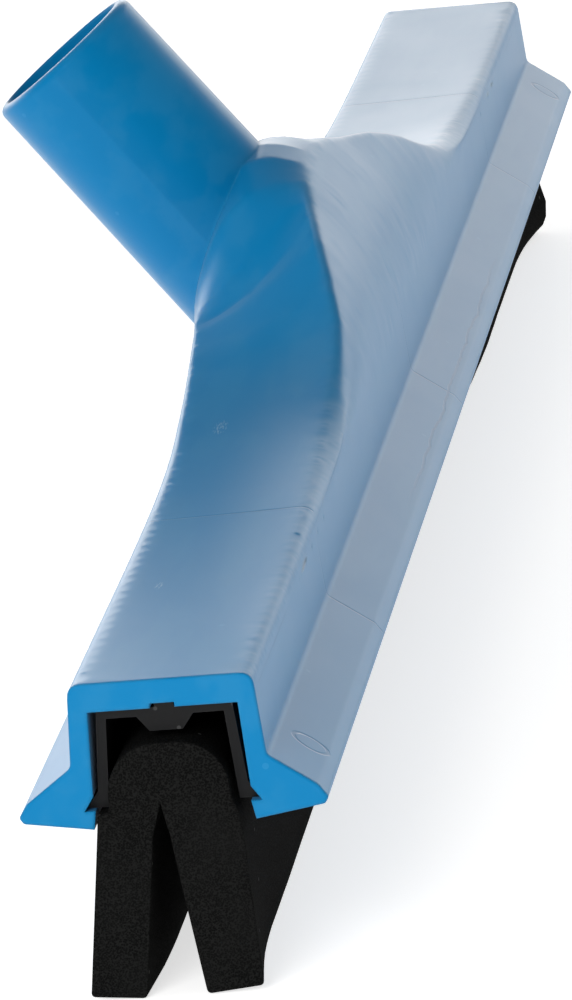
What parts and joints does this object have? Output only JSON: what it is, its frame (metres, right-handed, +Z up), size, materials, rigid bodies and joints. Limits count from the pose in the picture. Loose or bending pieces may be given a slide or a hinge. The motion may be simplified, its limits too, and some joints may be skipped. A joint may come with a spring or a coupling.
{
  "type": "floor squeegee head with replaceable foam blade",
  "caption": "Floor squeegee head: moulded plastic channel with a sculpted hump and an inclined handle socket, a slide-out carrier and a folded soft foam blade.",
  "frame": {"origin": "on the floor at mid-length, below the middle of the channel and between the feet of the two blade leaves", "axes": "+X along the housing (either way, it is symmetric about mid-length), +Z up, the handle socket leans towards -Y, where the user stands"},
  "size_m": [0.602, 0.0958, 0.1282],
  "materials": {
    "blue_plastic": "satin polypropylene, moulded",
    "black_plastic": "matt black extruded polypropylene",
    "foam_rubber": "fine-celled black foam rubber, cut faces"
  },
  "bodies": {
    "housing_body": {"housing": "blue_plastic"},
    "cassette": {"cassette_carrier": "black_plastic", "blade_fold": "foam_rubber"},
    "rear_leaf": {"blade_leaf_rear": "foam_rubber"},
    "front_leaf": {"blade_leaf_front": "foam_rubber"}
  },
  "joints": [
    {"name": "cassette_slide", "type": "slide", "parent": "housing_body", "child": "cassette", "axis": [1, 0, 0], "range_m": [0, 0.605]},
    {"name": "rear_blade_flex", "type": "hinge", "parent": "cassette", "child": "rear_leaf", "pos_m": [0, -0.0097, 0.0306], "axis": [-1, 0, 0], "range_deg": [-6, 18], "stiffness_Nm_per_rad": 4},
    {"name": "front_blade_flex", "type": "hinge", "parent": "cassette", "child": "front_leaf", "pos_m": [0, 0.0058, 0.0306], "axis": [1, 0, 0], "range_deg": [-6, 18], "stiffness_Nm_per_rad": 4}
  ]
}
